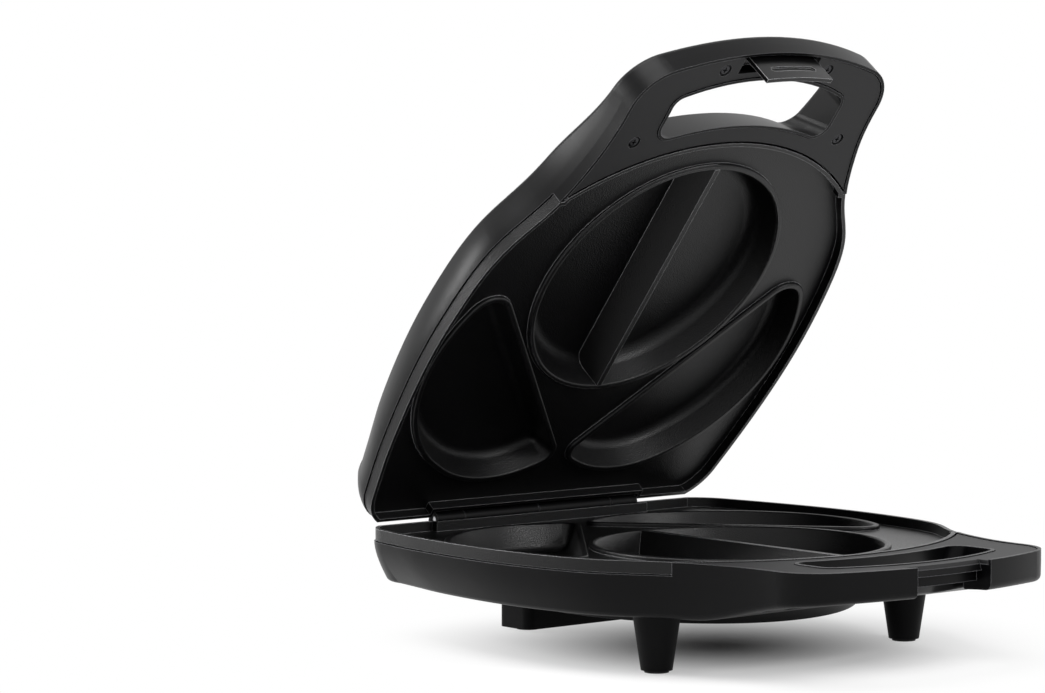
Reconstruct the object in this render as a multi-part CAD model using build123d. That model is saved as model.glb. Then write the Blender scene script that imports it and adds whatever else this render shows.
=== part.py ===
"""Electric omelette maker: two hinged half shells with non-stick plates, handles and a front latch.

Millimetres, +Z up. The origin is on the table, under the middle of the maker as it stands open. X runs
across, the hinge is on the +Y side and the handle on the -Y side. Each half is drawn closed, in a frame
of its own with z = 0 at the split between the halves and z growing towards that half's outer face. The
base is that form turned over, and the lid is swung open about the hinge afterwards. Places in the plan
are given as x and a distance from the back edge.
"""
from build123d import *
import math
import os

# ------------------------------------------------------------------ plan
depth = 271.5             # back edge to the front of the handle
back_half = 79.0          # half of the straight back edge
back_corner_r = 25.0
back_turn = math.radians(11.3)     # direction of the side where the back corner ends
body_half = 112.5         # half-width at the widest place
widest_at = 99.0
rear_swell = 3.1          # how much narrower the body is halfway to the back corner
rear_swell_at = 0.55      # where that is, as a share of the widest place's distance
front_swell = 3.1         # bulge of the side between the widest place and the shoulder
shoulder_at = 164.0       # where the sides turn in towards the handle
shoulder_half = 101.6
neck_spread = 14.2        # half-width over the handle's, halfway down the neck
neck_run = 22.0
neck_end_spread = 4.0
neck_end_run = 29.0
handle_half = 73.3
handle_corner_r = 22.0
crown_r = 178.0           # front edge of the handle

# ------------------------------------------------------------------ heights from the split, and walls
split_z = 49.3            # split between the closed halves, above the table
parting_gap = 0.25        # each half stays this far from the split
band_h = 6.0              # side band of the plate that shows behind the handle
face_h = 24.5             # outer face of the body
handle_h = 13.2           # outer face at the front of the handle
plateau_h = 32.5          # highest edge of the raised round panel
plateau_r = 78.0
plateau_at = 102.0
ramp_w = 14.0             # concave ramp around the round panel
panel_level_at = 27.5     # where the tilted round panel is level with the face
slope_from = 195.0        # where the face starts to fall towards the handle
fall_points = [(0.17, 0.87), (0.36, 0.56), (0.64, 0.195), (0.88, 0.027)]   # share of the way, height left
shell_wall = 2.4
rim_w = 1.5               # shell rim seen around the inner cover
back_lean = 2.0           # how far the outer face stands in from the rim, from the back to the handle
corner_lean = 9.5
side_lean = 6.5
shoulder_lean = 4.9
neck_lean = 3.4
neck_end_lean = 2.2
handle_lean = 1.0
lean_power = 1.7          # makes the wall convex
step_at = 190.9           # where the shell rim steps down for the plate's band
step_gap = 0.3
edge_r = 3.0              # rounding of the wall into the outer face
hole_edge_r = 1.2

# ------------------------------------------------------------------ handle hole
hole_half = 49.0
hole_corner_r = 6.0
front_bar_w = 15.0        # hole to the front edge, on the centre line
hole_front_r = 114.0
hole_rear_gap = 10.2      # plate edge to the hole, on the centre line
hole_rear_slope = 8.0 / 18.5

# ------------------------------------------------------------------ inner covers and plates
cover_t = 2.2
cover_gap = 0.45
cover_sink = 0.4          # the cover's face lies this far behind the shell's rim
cover_screw_seat = 0.55   # thickness left under the lid cover's screw heads
plate_front_at = 221.5
plate_front_r = 128.3
plate_gap = 0.6           # plate band behind the shell's outline
plate_wall = 2.4
plate_rim_w = 1.8
plate_in_shell = 0.5      # plate to the inside of the shell's wall
land_d = 4.5              # land below the plate's rim
bead_h = 2.0
bead_w = 2.6
bead_r = 0.9              # rounding of a bead's two edges
pan_r = 63.0
pan_front_gap = 17.0      # pan to the plate's front edge
pan_d = 16.0
pan_floor_r = 7.0
side_pan_start = (4.0, 36.5)       # inner rear corner of a side pan
side_pan_end_in = 13.6    # end of its straight edge, inside the shoulder's half-width
side_pan_web = 6.66       # between the straight edge and the main pan
side_pan_margin = 8.5     # side pan to the widest place of the body
side_pan_reach = 7.0      # widest place of a side pan, behind the body's
side_pan_corner_in = 9.0  # rear outer corner, inside the straight back edge's end
side_pan_corner_at = 34.6
side_pan_rear = (42.0, 25.0)
side_pan_front_r = 10.0
side_pan_corner_r = 16.0
side_pan_start_r = 5.5
side_pan_d = 15.0
side_floor_r = 5.0
pan_draft = 18.0
divider_crest = 2.4
divider_foot = 15.0
divider_d = 2.2           # crest below the split
tab_at = 66.0             # screwed front tabs of the plates
tab_screw_in = 13.5
tab_w = 14.0
tab_len = 9.0
plate_back_at = 8.4       # plates stay clear of the hinge barrels
barrel_gap = 1.5
hinge_gap = 1.2           # plates end this far in front of the hinge line

# ------------------------------------------------------------------ hinge
hinge_at = 3.6
barrel_r = 3.4
barrel_half = 60.0
ear_w = 15.8              # outer knuckles, on the base
knuckle_gap = 0.4
web_in = 1.6              # the knuckles' webs start this far in front of the hinge line
pin_r = 1.5
pin_fit = 0.05            # running clearance in the lid's knuckles
pin_seat = 0.02           # clearance in the base's knuckles
open_rest = 51.34         # lid angle as it stands

# ------------------------------------------------------------------ latch
notch_half = 21.5
hook_half = 18.9
hook_front_in = 3.0       # hook's outer face behind the crown
hook_t = 2.0
hook_below = 13.0
hook_above = 9.2
hook_body_w = 6.0         # thick part of the hook around its pin
hook_body_below = 3.0     # that part reaches this far below the pin
slot_w = 25.5
slot_h = 2.7
slot_end_r = 1.3
slot_top = 5.5            # top of the slot, below the split
slot_d = 0.8
tooth_len = 2.2
tooth_h = 2.6
tooth_gap = 0.4           # tooth to the catch when shut
catch_top_in = 7.2        # top of the catch's slope, behind the crown
catch_d = 5.2             # lower edge of the catch, below the split
catch_gap = 0.4           # hook to the catch's nose
catch_under = 0.6         # room past the tooth's tip
catch_bar_h = 9.6         # lower edge of the bar in the notch, below the split
catch_post_w = 2.4        # solid bar each side of the notch
catch_top_cover = 0.5     # the catch's block ends this far under the handle's face
latch_pivot_in = 7.0      # pivot behind the crown
latch_pivot_h = 7.0
latch_pin_r = 1.0
latch_pin_fit = 0.05
lug_w = 4.0
lug_len = 5.4
lug_low = 2.9
lug_top_in = 0.8          # lugs end this far under the handle's face
latch_pin_past = 2.3      # pin past the notch, into each lug
opening_front_in = 1.4    # opening in the lid for the hook, from the crown
opening_rear_in = 10.6
opening_side = 0.5
opening_top = 1.6
spring_gap = 0.25
spring_wall = 0.73
spring_bore = 0.12

# ------------------------------------------------------------------ fasteners
screw_r = 1.4
screw_head_r = 2.9
screw_head_h = 1.6
screw_len = 9.0
screw_fit = 0.03
head_fit = 0.15
cross_len = 3.4           # cross recess in the screw heads
cross_w = 0.9
cross_d = 0.7
post_r = 3.6
boss_h = 4.0              # bosses under the base cover
boss_r = 3.0
boss_fit = 0.1
cover_screw_side = 11.0   # rear cover screws, outside the hole
cover_screw_rear = 1.0    # and in front of the plate's edge
cover_screw_front = (30.0, 10.2)   # front cover screws: x, and distance from the crown's tip
rear_post = (68.0, 13.5)

# ------------------------------------------------------------------ legs, rear foot and pads
leg_at = (73.4, 169.0)
leg_top_r = 10.4
leg_foot_r = 6.7
pad_h = 3.0
pad_out = 1.0
pad_r = 5.2
pad_fit = 0.1
bar_half = 37.6
bar_at = (22.0, 43.0)
bar_wall = 2.6
bar_floor = 4.0
bar_corner_r = 4.0
bar_screw_x = 24.0
bar_post_r = 4.0
bar_pad_in = 9.0

# ------------------------------------------------------------------ electrical pieces
element_r = 3.25
element_ring_r = 38.0
element_behind = 4.0      # centre of the element's front bend, behind the pan's centre
element_leg = 28.0
element_cold_len = 12.0
element_cold_in = 6.0
element_cold_r = 1.2
clamp_t = 1.0
clamp_w = 9.0
clamp_past = 2.0          # how far a clamp reaches past the tube's centre
clamp_post_gap = 0.4
clamp_screw_len = 4.5
clamp_head_h = 1.2
clamp_thread = 5.0
red_r = 5.5
red_at = 62.7
green_half = (6.5, 12.5)
green_at = 39.0
lens_gap = 0.1
lens_flange_t = 1.2
lens_flange_w = 1.4
lens_out = 1.4
lens_edge_r = 1.12
lamp_r = 2.1
lamp_len = 9.0
lamp_room = (0.6, 0.2)    # slot around a lamp in its holder: at its sides and ends
holder_w = 19.0
holder_past = 12.0
holder_t = 1.2
holder_peg_x = 8.2
holder_peg_r = 1.2
inlet_r = 4.0
inlet_wall = 1.5
inlet_len = 9.0
inlet_flange_w = 3.0
inlet_flange_t = 2.6
inlet_out = 1.6
inlet_d = 16.5            # cord inlet, below the split
block_size = (30.0, 11.0, 9.0)
block_at = (27.0, 13.0)
block_pitch = 9.5
block_bore_r = 1.6
block_screw_r = 2.2
block_bore_in = 4.0       # wire bores, from the block's foot
block_screw_d = 4.05      # depth of the screw wells
fuse_at = (-86.0, 153.0)
fuse_r = 2.2
fuse_len = 15.0
clip_t = 0.8
clip_w = 6.0
thermostat_at = (86.0, 153.0)
thermostat_r = (7.5, 5.0)
thermostat_h = (6.0, 9.0)
blade_x = 6.0
blade_size = (1.0, 5.0, 8.0)
lead_r = 0.9
lead_bend_r = 4.0
lead_gap = 0.2
lead_sag = 0.6            # leads start this far off the lamp holder's plane

# ------------------------------------------------------------------ worked out
past = 1.0                # cuts run this far past a face
bite = 0.01               # solids that join overlap by this much
near = 0.01               # edges are picked within this distance
far = 400.0               # beyond everything
crown_at = depth - crown_r
open_turn = math.radians(open_rest)
front_reach = crown_at + math.sqrt(crown_r ** 2 - notch_half ** 2)
lid_overhang = (hinge_at - back_lean) * math.cos(open_turn) + face_h * math.sin(open_turn) - hinge_at
back_y = (front_reach - lid_overhang) / 2
crown_y = back_y - crown_at
hinge_y = back_y - hinge_at
low_aligned = (Align.CENTER, Align.CENTER, Align.MIN)
high_aligned = (Align.CENTER, Align.CENTER, Align.MAX)


def at(x, from_back, z=0.0):
    """A point given by its distance from the back edge."""
    return Vector(x, back_y - from_back, z)


def slab(sketch, low, high):
    """A flat sketch raised from one height to another."""
    return extrude(Pos(0, 0, low) * sketch, high - low, dir=(0, 0, 1))


def column(x, from_back, low, high, r):
    """An upright round post or hole."""
    return Pos(x, back_y - from_back, low) * Cylinder(r, high - low, align=low_aligned)


def cross_bar(from_back, z, r, length, x=0.0):
    """A round bar or hole along X."""
    return Pos(x, back_y - from_back, z) * Rot(0, 90, 0) * Cylinder(r, length)


def behind(from_back):
    """Everything from well behind the back edge up to a distance from it."""
    return Pos(0, back_y - from_back + far / 2) * Rectangle(2 * far, far)


def ring_sketch(outer, inner, half):
    """Strip between two radii about the crown's centre, in front of it, half wide each side."""
    strip = Circle(outer) - Circle(inner)
    return Pos(0, crown_y) * (strip & (Pos(0, -crown_r) * Rectangle(2 * half, crown_r)))


def group(shapes):
    """Loose solids of one kind kept together in one node."""
    return Compound(children=[piece for shape in shapes for piece in shape.solids()])


# ================================================================== plan outline
corner_end = (back_half + back_corner_r * math.cos(back_turn), back_corner_r * (1 - math.sin(back_turn)))
front_centre_x = handle_half - handle_corner_r
front_centre_at = crown_at + math.sqrt((crown_r - handle_corner_r) ** 2 - front_centre_x ** 2)
front_turn = math.atan2(front_centre_x, front_centre_at - crown_at)

# half-width, distance from the back edge, lean of the wall at the outer face
side_points = [
    (*corner_end, corner_lean),
    (body_half - rear_swell, rear_swell_at * widest_at, (corner_lean + side_lean) / 2),
    (body_half, widest_at, side_lean),
    ((body_half + shoulder_half) / 2 + front_swell, (widest_at + shoulder_at) / 2,
     (side_lean + shoulder_lean) / 2),
    (shoulder_half, shoulder_at, shoulder_lean),
    (handle_half + neck_spread, shoulder_at + neck_run, neck_lean),
    (handle_half + neck_end_spread, front_centre_at - neck_end_run, neck_end_lean),
    (handle_half, front_centre_at, handle_lean),
]
start_way = Vector(math.sin(back_turn), -math.cos(back_turn), 0)
end_way = Vector(0, -1, 0)


def side_moved(inset, lean):
    """The side's points moved inwards along their own normals."""
    plain = [at(x, v) for x, v, _ in side_points]
    moved = []
    for i, (_, _, share) in enumerate(side_points):
        if i == 0:
            way = start_way
        elif i == len(side_points) - 1:
            way = end_way
        else:
            way = (plain[i + 1] - plain[i - 1]).normalized()
        normal = Vector(-way.Y, way.X, 0)
        moved.append(plain[i] - normal * (inset + lean * share))
    return moved


def outline(inset=0.0, lean=0.0, z=0.0):
    """Plan outline of a half. lean is 0 at the rim and 1 at the outer face."""
    side = side_moved(inset, lean)
    back_in = inset + lean * back_lean
    front_in = inset + lean * handle_lean
    back_r = back_corner_r - inset - lean * (back_lean + corner_lean) / 2
    front_r = handle_corner_r - front_in
    half_way = math.radians(45) - back_turn / 2
    turned = math.radians(45) + front_turn / 2
    back_point = at(back_half, back_in)
    back_mid = at(back_half + back_r * math.sin(half_way), back_corner_r - back_r * math.cos(half_way))
    front_mid = at(front_centre_x + front_r * math.sin(turned), front_centre_at + front_r * math.cos(turned))
    front_point = at(front_centre_x + front_r * math.sin(front_turn),
                     front_centre_at + front_r * math.cos(front_turn))
    tip = at(0, depth - front_in)

    def mirrored(p):
        return Vector(-p.X, p.Y, 0)

    right = Spline(side, tangents=[start_way, end_way])
    left = Spline([mirrored(p) for p in reversed(side)],
                  tangents=[-end_way, Vector(start_way.X, -start_way.Y, 0)])
    edges = [
        Line(mirrored(back_point), back_point),
        ThreePointArc(back_point, back_mid, side[0]),
        right,
        ThreePointArc(side[-1], front_mid, front_point),
        ThreePointArc(front_point, tip, mirrored(front_point)),
        ThreePointArc(mirrored(front_point), mirrored(front_mid), mirrored(side[-1])),
        left,
        ThreePointArc(mirrored(side[0]), mirrored(back_mid), mirrored(back_point)),
    ]
    return Pos(0, 0, z) * make_face(edges)


# ================================================================== outer form of a half
fall_run = depth - slope_from
tilt = math.atan((plateau_h - face_h) / (plateau_at + plateau_r - panel_level_at))
wall_rows = 3


def panel_height(from_back, inset=0.0):
    """Height of the raised panel, which lies level with the face near the hinge."""
    return plateau_h - inset - (plateau_at + plateau_r - from_back) * math.tan(tilt)


def side_profile(inset):
    """Side view of a half: flat over the body, then falling in a curve to the handle's front."""
    top = face_h - inset
    low = handle_h - inset
    run_end = depth + 10 * past
    fall = [at(0, slope_from, top)]
    for way, left in fall_points:
        fall.append(at(0, slope_from + way * fall_run, low + left * (face_h - handle_h)))
    fall.append(at(0, run_end, low))
    back_top, back_foot = at(0, -far / 2, top), at(0, -far / 2, -far / 8)
    front_foot = at(0, run_end, -far / 8)
    curve = Spline(fall, tangents=[end_way, end_way])
    return make_face([Line(back_top, fall[0]), curve, Line(fall[-1], front_foot),
                      Line(front_foot, back_foot), Line(back_foot, back_top)])


def round_panel(inset):
    """Raised round panel with a concave ramp around it and a flat, tilted face."""
    rise = plateau_h - face_h
    ramp_r = (ramp_w ** 2 + rise ** 2) / (2 * rise)
    swing = math.asin(ramp_w / ramp_r) / 2
    foot = Vector(plateau_r + ramp_w - inset, 0, face_h - inset)
    crest = Vector(plateau_r - inset, 0, plateau_h - inset)
    mid = Vector(foot.X - ramp_r * math.sin(swing), 0, foot.Z + ramp_r * (1 - math.cos(swing)))
    sunk = foot.Z - 2 * past
    half_profile = make_face([
        Line((0, 0, sunk), (foot.X, 0, sunk)), Line((foot.X, 0, sunk), foot),
        ThreePointArc(foot, mid, crest), Line(crest, (0, 0, crest.Z)), Line((0, 0, crest.Z), (0, 0, sunk))])
    panel = Pos(0, back_y - plateau_at) * revolve(half_profile, Axis.Z)
    over = Plane(at(0, plateau_at + plateau_r, crest.Z), x_dir=(1, 0, 0),
                 z_dir=(0, math.sin(tilt), math.cos(tilt)))
    return panel - extrude(over * Rectangle(far, 2 * far), far / 4)


def form(inset=0.0, low=parting_gap, round_r=0.0):
    """Outer form of a half with everything moved in by inset, used for the skin and its cavity."""
    wall_h = face_h - band_h
    rows = []
    for i in (*range(wall_rows + 1), wall_rows + 0.5):
        rows.append(outline(inset, (i / wall_rows) ** lean_power, band_h + i / wall_rows * wall_h))
    body = slab(outline(inset), low, band_h) + loft(rows)
    body = body & extrude(side_profile(inset), far / 2, both=True)
    if round_r:
        body = fillet([e for e in body.edges() if e.bounding_box().min.Z > handle_h - past], round_r)
    return body + round_panel(inset)


# ================================================================== handle hole and the inner cover
plate_front_y = back_y - plate_front_at + plate_front_r
hole_rear_r = plate_front_r + hole_rear_gap
hole_front_y = back_y - (depth - front_bar_w) + hole_front_r


def hole(grow=0.0, shift=0.0, z=0.0):
    """Finger hole between two arcs. shift moves its rear edge towards the hinge."""
    half = hole_half + grow
    front_r = hole_front_r + grow
    rear_r = hole_rear_r - grow
    front_end = hole_front_y - math.sqrt(front_r ** 2 - half ** 2)
    rear_end = plate_front_y + shift - math.sqrt(rear_r ** 2 - half ** 2)
    edges = [
        ThreePointArc((-half, front_end), (0, hole_front_y - front_r), (half, front_end)),
        Line((half, front_end), (half, rear_end)),
        ThreePointArc((half, rear_end), (0, plate_front_y + shift - rear_r), (-half, rear_end)),
        Line((-half, rear_end), (-half, front_end)),
    ]
    face = make_face(edges)
    return Pos(0, 0, z) * fillet(face.vertices(), hole_corner_r + grow)


def hole_form(grow=0.0):
    """The hole through a handle, with its rear wall sloping towards the outer face."""
    top = face_h + 4 * past
    inner = hole(grow, -past * hole_rear_slope, -past)
    outer = hole(grow, top * hole_rear_slope, top)
    return loft([inner, outer], ruled=True)


def front_of_plate(gap):
    """Plan area in front of the plate's front arc."""
    return outline() - (Pos(0, plate_front_y) * Circle(plate_front_r + gap)) - behind(shoulder_at)


def cover_area(gap):
    """Plan area of the inner cover: inside the shell's rim and around the hole's rim."""
    return (outline(rim_w + gap) & front_of_plate(2 * gap)) - hole(rim_w + gap)


def catch_cut(low, high):
    """Notch in the base's front bar with the sloped catch, turned about the crown's centre."""
    outside = crown_r + 12 * past
    r_top = crown_r - catch_top_in
    r_nose = crown_r - hook_front_in - hook_t - catch_gap
    r_under = r_nose - tooth_len - catch_under
    profile = Plane.XZ * make_face(Polyline([
        (r_top, low), (r_top, parting_gap), (r_nose, catch_d), (r_under, catch_d),
        (r_under, high), (outside, high), (outside, low)], close=True))
    turned = Pos(0, crown_y) * revolve(profile, Axis.Z)
    return turned & (Pos(0, crown_y - crown_r) * Box(2 * notch_half, crown_r, far / 2))


# ================================================================== what both shells share
cover_under = parting_gap + cover_t
cover_face = parting_gap + cover_sink
cover_seat = cover_under - cover_screw_seat
low_screw_seat = cover_under + screw_len - past
tab_screw_at = plate_front_at - tab_screw_in
land_under = parting_gap + land_d + plate_wall
tab_top = parting_gap + land_d
cover_screws = [(side * x, v) for x, v in (
    (hole_half + cover_screw_side, plate_front_at + cover_screw_rear),
    (cover_screw_front[0], depth - cover_screw_front[1])) for side in (-1, 1)]
rear_posts = [(side * rear_post[0], rear_post[1]) for side in (-1, 1)]

outer_form = form(round_r=edge_r)
plain_hole = hole_form()
cavity = form(shell_wall, low=-past) - hole_form(shell_wall)
pierced = outer_form - plain_hole
hole_rim = [e for e in pierced.edges() if e.bounding_box().min.Z > handle_h - past and
            e.distance_to(plain_hole) < near]
skin = fillet(hole_rim, hole_edge_r) - cavity
rebate_area = (outline(rim_w) & front_of_plate(cover_gap)) - hole(rim_w)
tab_holes = Part() + [column(side * tab_at, tab_screw_at, 0, land_under + screw_len, screw_r + screw_fit)
                      for side in (-1, 1)]


def half_shell():
    """Skin with its posts, open towards the plate, before what differs between base and lid."""
    shell = skin - slab(rebate_area, -past, cover_under) - slab(behind(step_at), -past, band_h)
    for x, v in cover_screws:
        shell += column(x, v, cover_under, face_h, post_r) & outer_form
    for x, v in [(-tab_at, tab_screw_at), (tab_at, tab_screw_at)] + rear_posts:
        shell += column(x, v, land_under, face_h, post_r) & outer_form
    return shell - tab_holes


def knuckle(x_low, x_high):
    """One hinge knuckle with the web that carries it."""
    width = x_high - x_low
    barrel = cross_bar(hinge_at, 0, barrel_r, width, (x_low + x_high) / 2)
    web = Pos(x_low, hinge_y - web_in, 0) * Box(
        width, web_in + hinge_at, band_h + past, align=(Align.MIN, Align.MIN, Align.MIN))
    return barrel + web


half = half_shell()
ear_in = barrel_half - ear_w

# ================================================================== base shell
bar_mid = sum(bar_at) / 2
bar_screws = [(side * bar_screw_x, bar_mid) for side in (-1, 1)]
leg_screws = [(side * leg_at[0], leg_at[1]) for side in (-1, 1)]
inlet_axis = Pos(0, back_y, inlet_d) * Rot(-90, 0, 0)          # its z points out of the back

catch_block = slab(ring_sketch(crown_r - rim_w, crown_r - front_bar_w + past, notch_half + catch_post_w),
                   cover_under, handle_h - catch_top_cover)
base_shell = half + (catch_block - plain_hole) + knuckle(-barrel_half, -ear_in) + knuckle(ear_in, barrel_half)
base_shell -= catch_cut(-past, face_h) + cross_bar(hinge_at, 0, pin_r + pin_seat, 3 * barrel_half)
for x, v in bar_screws + leg_screws:
    base_shell -= column(x, v, land_under, plateau_h + past, screw_r + screw_fit)
for x, v in cover_screws:
    base_shell -= column(x, v, cover_under, cover_under + boss_h, boss_r + boss_fit)
    base_shell -= column(x, v, 0, plateau_h, screw_r + screw_fit)
    base_shell -= column(x, v, low_screw_seat, plateau_h, screw_head_r + head_fit)
bar_area = ring_sketch(crown_r + far, crown_r - front_bar_w - catch_post_w, notch_half)
base_shell -= slab(bar_area, catch_bar_h, far)
base_shell -= inlet_axis * Cylinder(inlet_r + inlet_wall, 2 * shell_wall + 7 * past)

# ================================================================== lid shell
latch_at = crown_at + crown_r - latch_pivot_in
latch_y = back_y - latch_at
opening_area = ring_sketch(crown_r - opening_front_in, crown_r - opening_rear_in, notch_half + opening_side)
lug = Box(lug_w, lug_len, handle_h - lug_top_in - lug_low, align=low_aligned)

lid_shell = half + knuckle(-ear_in + knuckle_gap, -knuckle_gap / 2)
lid_shell += knuckle(knuckle_gap / 2, ear_in - knuckle_gap)
for side in (-1, 1):
    lid_shell += Pos(side * (notch_half + opening_side + lug_w / 2), latch_y, lug_low) * lug
lid_shell -= slab(opening_area, -past, hook_above + opening_top)
lid_shell -= cross_bar(latch_at, latch_pivot_h, latch_pin_r + pin_seat, 2 * notch_half + 5 * past)
lid_shell -= cross_bar(hinge_at, 0, pin_r + pin_fit, 3 * barrel_half)
for x, v in cover_screws:
    lid_shell -= column(x, v, 0, cover_under + screw_len, screw_r + screw_fit)


def on_panel(from_back):
    """Local frame on the raised panel with z pointing out of the half."""
    return Location(Plane(at(0, from_back, panel_height(from_back)), x_dir=(1, 0, 0),
                          z_dir=(0, math.sin(tilt), math.cos(tilt))))


def red_area(grow=0.0):
    return Circle(red_r + grow)


def green_area(grow=0.0):
    return Ellipse(green_half[0] + grow, green_half[1] + grow)


lid_shell -= on_panel(red_at) * slab(red_area(lens_gap), -2 * shell_wall, shell_wall)
lid_shell -= on_panel(green_at) * slab(green_area(lens_gap), -2 * shell_wall, shell_wall)

# ================================================================== inner covers of the handles
cover_plain = slab(cover_area(cover_gap), cover_face, cover_under)
base_cover = cover_plain - catch_cut(-past, face_h)
lid_cover = cover_plain - slab(opening_area, -past, face_h)
for x, v in cover_screws:
    base_cover += column(x, v, cover_under, cover_under + boss_h, boss_r)
    base_cover -= column(x, v, cover_under - cover_t / 2, face_h, screw_r + screw_fit)
    lid_cover -= column(x, v, -past, face_h, screw_r + screw_fit)
    lid_cover -= column(x, v, -past, cover_seat, screw_head_r + head_fit)

# ================================================================== plates
pan_at = plate_front_at - pan_front_gap - pan_r
pan_spot = (-side_pan_start[0], pan_at - side_pan_start[1])     # pan's centre from a side pan's corner
edge_turn = math.atan2(*pan_spot) + math.asin((pan_r + side_pan_web) / math.hypot(*pan_spot))
side_pan_end_x = shoulder_half - side_pan_end_in
side_pan_end_at = side_pan_start[1] + (side_pan_end_x - side_pan_start[0]) / math.tan(edge_turn)
side_pan_end = (side_pan_end_x, side_pan_end_at)
side_corner = at(back_half - side_pan_corner_in, side_pan_corner_at)
side_reach = at(body_half - side_pan_margin, widest_at - side_pan_reach)
side_area = make_face([
    ThreePointArc(at(*side_pan_end), side_reach, side_corner),
    ThreePointArc(side_corner, at(*side_pan_rear), at(*side_pan_start)),
    Line(at(*side_pan_start), at(*side_pan_end)),
])


def corner_rounded(area, spot, r):
    """Round the corner of a sketch that lies at a point."""
    corners = [v for v in area.vertices() if (v.center() - spot).length < past]
    return fillet(corners, r)


side_area = corner_rounded(side_area, at(*side_pan_end), side_pan_front_r)
side_area = corner_rounded(side_area, at(*side_pan_start), side_pan_start_r)
side_area = corner_rounded(side_area, side_corner, side_pan_corner_r)
main_area = Pos(0, back_y - pan_at) * Circle(pan_r)
pans = [(main_area, pan_d, pan_floor_r), (side_area, side_pan_d, side_floor_r),
        (mirror(side_area, Plane.YZ), side_pan_d, side_floor_r)]
bead_top = parting_gap + land_d - bead_h


def tapered(area, deep):
    """Solid that narrows from the bead down to a depth."""
    return extrude(Pos(0, 0, bead_top) * area, deep - bead_top, dir=(0, 0, 1), taper=pan_draft)


def inside_of(area, deep, r):
    """Space inside a pan, with a rounded floor."""
    solid = tapered(area, deep)
    return fillet([e for e in solid.edges() if abs(e.center().Z - deep) < near], r)


def bowl(area, deep, r):
    """Wall and floor of one pan, with its rounded bead around the mouth."""
    room = inside_of(area, deep, r)
    solid = slab(offset(area, bead_w), bead_top, tab_top)
    solid += tapered(offset(area, plate_wall), deep + plate_wall)
    solid -= room
    rim = [e for e in solid.edges() if e.bounding_box().max.Z < bead_top + near]
    return fillet(rim, bead_r)


def plate_plan(inset=0.0):
    """Plan of a plate: its band follows the shell, and its front and back stay inside the shell's rim."""
    band = outline(plate_gap + inset) & behind(step_at - step_gap - inset)
    front_arc = Pos(0, plate_front_y) * Circle(plate_front_r - inset)
    front = (outline(shell_wall + step_gap + inset) & front_arc) - behind(step_at - far / 8)
    relief = Pos(0, back_y) * Rectangle(2 * (barrel_half + barrel_gap + inset), 2 * (plate_back_at + inset))
    return (band + front) - relief - behind(hinge_at + hinge_gap + inset)


plate_area = plate_plan()
band_top = band_h - cover_gap
plate = slab(plate_area, parting_gap, band_top)
plate += slab(outline(shell_wall + plate_in_shell) & plate_area, band_top, land_under)
plate -= slab(plate_plan(plate_rim_w), -past, tab_top)
for area, deep, r in pans:
    plate -= inside_of(area, parting_gap + deep, r)
for area, deep, r in pans:
    plate += bowl(area, parting_gap + deep, r)

divider_under = parting_gap + pan_d + plate_wall / 4
slope = make_face(Polyline([
    (-divider_foot / 2, divider_under), (-divider_crest / 2, parting_gap + divider_d),
    (divider_crest / 2, parting_gap + divider_d), (divider_foot / 2, divider_under)], close=True))
divider = Pos(0, back_y - pan_at) * extrude(Plane.XZ * slope, pan_r, both=True)
divider_room = extrude(Pos(0, 0, bead_top) * offset(main_area, plate_wall / 4), divider_under - bead_top,
                       dir=(0, 0, 1), taper=pan_draft)
plate += divider & divider_room
for side in (-1, 1):
    plate += Pos(side * tab_at, back_y - tab_screw_at + tab_len / 2, tab_top) * Box(
        tab_w, 2 * tab_len, plate_wall, align=low_aligned)
plate -= tab_holes

# ---- bosses for the element's clamps
element_at = pan_at - element_behind
element_z = parting_gap + pan_d + plate_wall + element_r
element_face = element_z + element_r
clamp_reach = element_r + post_r + clamp_post_gap
# where a clamp crosses the tube, and its way inwards
clamp_spots = [(0.0, element_at + element_ring_r, 0.0, -1.0), (-element_ring_r, element_at, 1.0, 0.0),
               (element_ring_r, element_at, -1.0, 0.0)]
clamp_feet = [(x + dx * clamp_reach, v + dv * clamp_reach) for x, v, dx, dv in clamp_spots]
for foot in clamp_feet:
    plate += column(*foot, parting_gap + pan_d + plate_wall / 2, element_face, post_r)
    plate -= column(*foot, element_face - clamp_thread, element_face + past, screw_r + screw_fit)


# ================================================================== screws
def screw(x, from_back, seat, way=1, length=screw_len, head_h=screw_head_h):
    """Screw whose head sits on seat. way is +1 when it drives towards the outer face."""
    shank = Cylinder(screw_r, length, align=low_aligned)
    head = Pos(0, 0, -head_h) * Cylinder(screw_head_r, head_h, align=low_aligned)
    cross = Box(cross_w, cross_len, 2 * cross_d) + Box(cross_len, cross_w, 2 * cross_d)
    turn = Rot(0, 0, 0) if way > 0 else Rot(180, 0, 0)
    return Pos(x, back_y - from_back, seat) * turn * (shank + head - Pos(0, 0, -head_h) * cross)


def inside_face(from_back):
    """Height of the inner surface of a half's outer face behind the round panel's front."""
    return max(face_h, panel_height(from_back)) - shell_wall


plate_screws = [screw(side * tab_at, tab_screw_at, tab_top) for side in (-1, 1)]
cover_head_h = cover_seat - cover_face - head_fit
lid_cover_screws = [screw(x, v, cover_seat, head_h=cover_head_h) for x, v in cover_screws]
base_cover_screws = [screw(x, v, low_screw_seat, way=-1) for x, v in cover_screws]
clamp_seat = element_face + clamp_t
clamp_screws = [screw(*foot, clamp_seat, way=-1, length=clamp_screw_len, head_h=clamp_head_h)
                for foot in clamp_feet]
foot_screws = [screw(x, v, face_h - shell_wall) for x, v in leg_screws]
foot_screws += [screw(x, v, inside_face(v - screw_head_r)) for x, v in bar_screws]

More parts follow.
